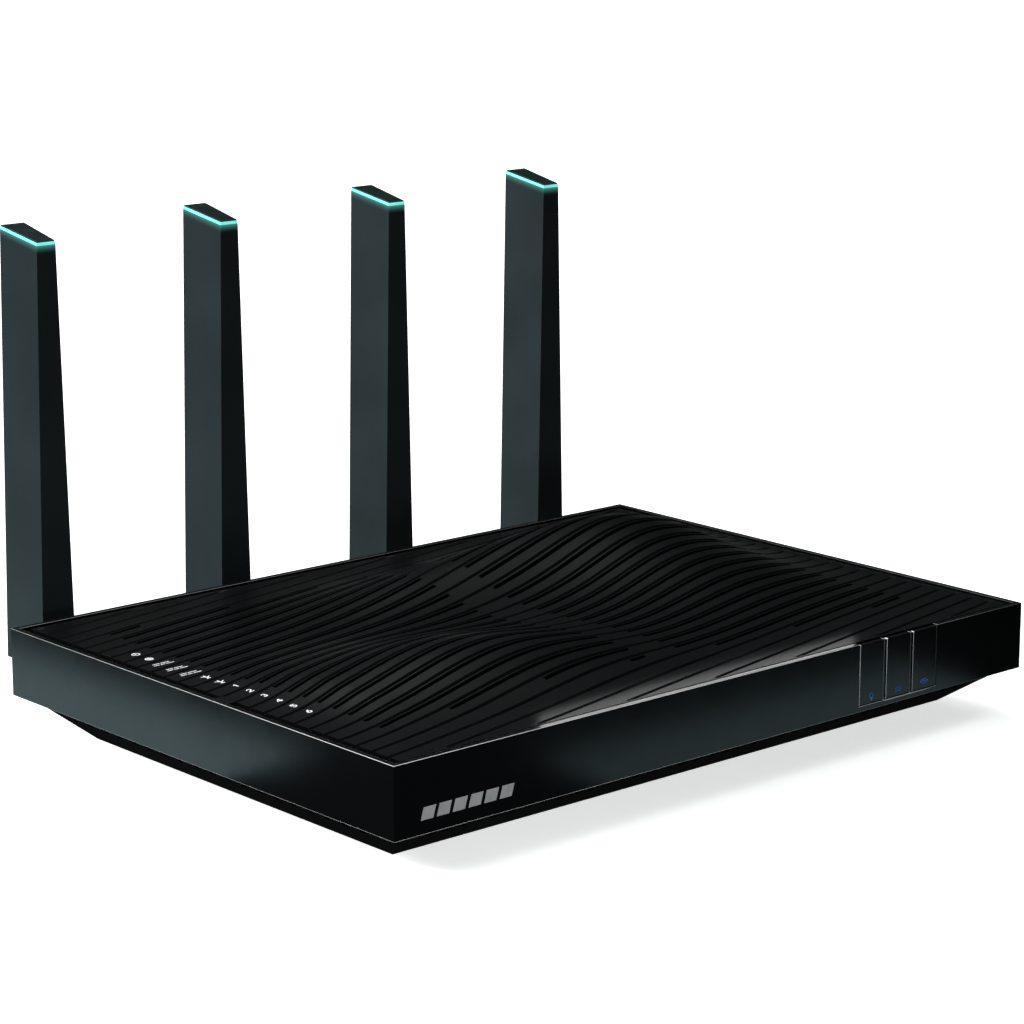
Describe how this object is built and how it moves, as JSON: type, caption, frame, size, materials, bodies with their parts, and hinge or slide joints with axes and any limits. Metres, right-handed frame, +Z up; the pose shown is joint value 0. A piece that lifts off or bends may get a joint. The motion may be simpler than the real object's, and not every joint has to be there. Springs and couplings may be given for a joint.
{
  "type": "wireless router",
  "caption": "Wide low wireless router with a waved ribbed top, a deep gloss side band, a vented tray, front keys, rear sockets and tall tapered antennas with lit tips that fold back.",
  "frame": {"origin": "on the floor, under the middle of the rectangle that holds the body and the upright antennas", "axes": "+X to the right seen from the front, +Y to the rear where the antennas and sockets are, +Z up"},
  "size_m": [0.316, 0.264, 0.1915],
  "materials": {
    "cover_black": "satin moulded ABS",
    "band_black": "polished moulded ABS",
    "tray_black": "spark-textured ABS",
    "panel_black": "spark-textured ABS",
    "foot_rubber": "matte",
    "screw_steel": "zinc plated",
    "board_laminate": "solder mask over glass laminate",
    "sink_aluminium": "extruded",
    "chip_epoxy": "moulded epoxy",
    "pad_silicone": "soft silicone",
    "switch_plastic": "moulded",
    "clear_acrylic": "clear moulded acrylic",
    "led_white": "diffusing lens",
    "lead_jacket": "smooth",
    "wan_plastic": "moulded",
    "jack_plastic": "moulded",
    "socket_steel": "nickel plated",
    "inlet_black": "moulded",
    "reset_red": "moulded",
    "can_tin": "tin plated",
    "antenna_grey": "satin moulded ABS",
    "ring_teal": "lit translucent acrylic",
    "cap_black": "polished moulded ABS"
  },
  "bodies": {
    "chassis": {"top_cover": "cover_black", "side_band": "band_black", "bottom_tray": "tray_black", "rear_panel": "panel_black", "power_panel": "panel_black", "rubber_feet": "foot_rubber", "case_screws": "screw_steel", "circuit_board": "board_laminate", "board_screws": "screw_steel", "heat_sink": "sink_aluminium", "heat_spreader": "sink_aluminium", "processor": "chip_epoxy", "memory_chips": "chip_epoxy", "thermal_pads": "pad_silicone", "shield_can_1": "can_tin", "shield_can_2": "can_tin", "shield_can_3": "can_tin", "lan_jack_1": "jack_plastic", "lan_jack_2": "jack_plastic", "lan_jack_3": "jack_plastic", "lan_jack_4": "jack_plastic", "lan_jack_5": "jack_plastic", "lan_jack_6": "jack_plastic", "wan_jack": "wan_plastic", "usb_socket_1": "socket_steel", "usb_socket_2": "socket_steel", "power_inlet": "inlet_black", "power_switch": "switch_plastic", "reset_switch": "switch_plastic", "key_board": "board_laminate", "key_switches": "switch_plastic", "light_guide": "clear_acrylic", "indicator_leds": "led_white", "hinge_bracket_1": "panel_black", "hinge_bracket_2": "panel_black", "hinge_bracket_3": "panel_black", "hinge_bracket_4": "panel_black", "hinge_pins": "screw_steel", "antenna_leads": "lead_jacket"},
    "antenna_1": {"antenna_shell_1": "antenna_grey", "light_ring_1": "ring_teal", "antenna_cap_1": "cap_black", "antenna_board_1": "board_laminate"},
    "antenna_2": {"antenna_shell_2": "antenna_grey", "light_ring_2": "ring_teal", "antenna_cap_2": "cap_black", "antenna_board_2": "board_laminate"},
    "antenna_3": {"antenna_shell_3": "antenna_grey", "light_ring_3": "ring_teal", "antenna_cap_3": "cap_black", "antenna_board_3": "board_laminate"},
    "antenna_4": {"antenna_shell_4": "antenna_grey", "light_ring_4": "ring_teal", "antenna_cap_4": "cap_black", "antenna_board_4": "board_laminate"},
    "key_1": {"front_key_1": "band_black"},
    "key_2": {"front_key_2": "band_black"},
    "key_3": {"front_key_3": "band_black"},
    "power_key": {"power_button": "band_black"},
    "reset_key": {"reset_button": "reset_red"}
  },
  "joints": [
    {"name": "antenna_1_fold", "type": "hinge", "parent": "chassis", "child": "antenna_1", "pos_m": [-0.1281, 0.1204, 0.032], "axis": [1, 0, 0], "range_deg": [-90, 0]},
    {"name": "antenna_2_fold", "type": "hinge", "parent": "chassis", "child": "antenna_2", "pos_m": [-0.0427, 0.1204, 0.032], "axis": [1, 0, 0], "range_deg": [-90, 0]},
    {"name": "antenna_3_fold", "type": "hinge", "parent": "chassis", "child": "antenna_3", "pos_m": [0.0427, 0.1204, 0.032], "axis": [1, 0, 0], "range_deg": [-90, 0]},
    {"name": "antenna_4_fold", "type": "hinge", "parent": "chassis", "child": "antenna_4", "pos_m": [0.1281, 0.1204, 0.032], "axis": [1, 0, 0], "range_deg": [-90, 0]},
    {"name": "front_key_1_press", "type": "slide", "parent": "chassis", "child": "key_1", "axis": [0, 1, 0], "range_m": [0, 0.0006], "stiffness_N_per_m": 800, "springref_m": -0.0005},
    {"name": "front_key_2_press", "type": "slide", "parent": "chassis", "child": "key_2", "axis": [0, 1, 0], "range_m": [0, 0.0006], "stiffness_N_per_m": 800, "springref_m": -0.0005},
    {"name": "front_key_3_press", "type": "slide", "parent": "chassis", "child": "key_3", "axis": [0, 1, 0], "range_m": [0, 0.0006], "stiffness_N_per_m": 800, "springref_m": -0.0005},
    {"name": "power_press", "type": "slide", "parent": "chassis", "child": "power_key", "axis": [0, -1, 0], "range_m": [0, 0.002], "stiffness_N_per_m": 600, "springref_m": -0.001},
    {"name": "reset_press", "type": "slide", "parent": "chassis", "child": "reset_key", "axis": [0, -1, 0], "range_m": [0, 0.0008], "stiffness_N_per_m": 500, "springref_m": -0.0005}
  ]
}
